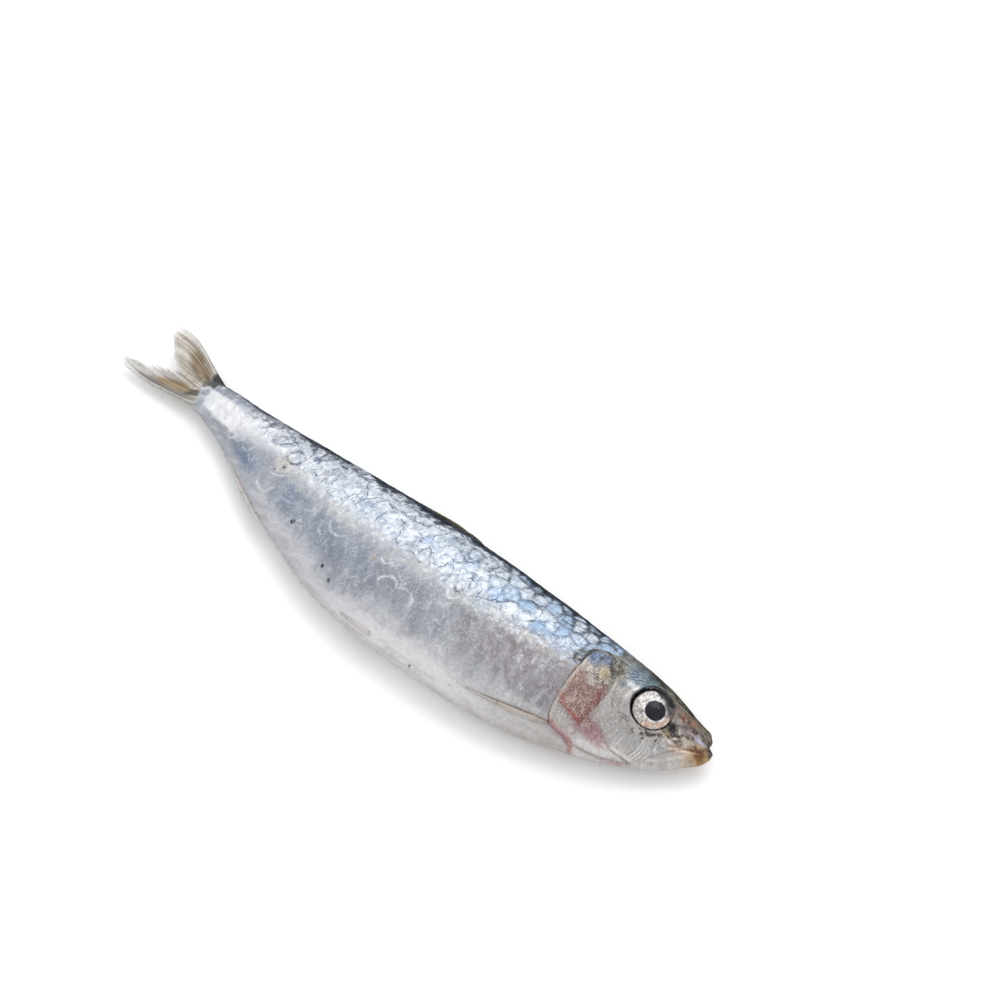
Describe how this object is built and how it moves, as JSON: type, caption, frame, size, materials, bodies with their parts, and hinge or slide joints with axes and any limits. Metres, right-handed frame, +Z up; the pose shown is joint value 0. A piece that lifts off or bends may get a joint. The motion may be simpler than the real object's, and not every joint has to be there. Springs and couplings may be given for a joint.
{
  "type": "fresh sardine",
  "caption": "Whole raw sardine lying on its flank: slim deep body with a silvery skin, stepped gill cover, large eyes, folded fins and a forked tail fin.",
  "frame": {"origin": "middle of the whole fish, on the ground it lies on", "axes": "+X along the fish towards its snout, +Y across it towards its back, +Z up from the ground, out of the right flank"},
  "size_m": [0.1482, 0.0336, 0.014],
  "materials": {
    "skin": "wet silver skin, blue-green on the back, blue-white scales above, lavender grey flank and cream belly",
    "eye": "wet and clear over a cream silver iris and a dark pupil",
    "fin": "translucent grey-brown membrane between pale rays"
  },
  "bodies": {
    "root": {"body": "skin", "eye_right": "eye", "eye_left": "eye", "tail_fin": "fin", "dorsal_fin": "fin", "anal_fin": "fin", "pectoral_fin_right": "fin", "pectoral_fin_left": "fin", "pelvic_fin_right": "fin", "pelvic_fin_left": "fin"}
  },
  "joints": []
}
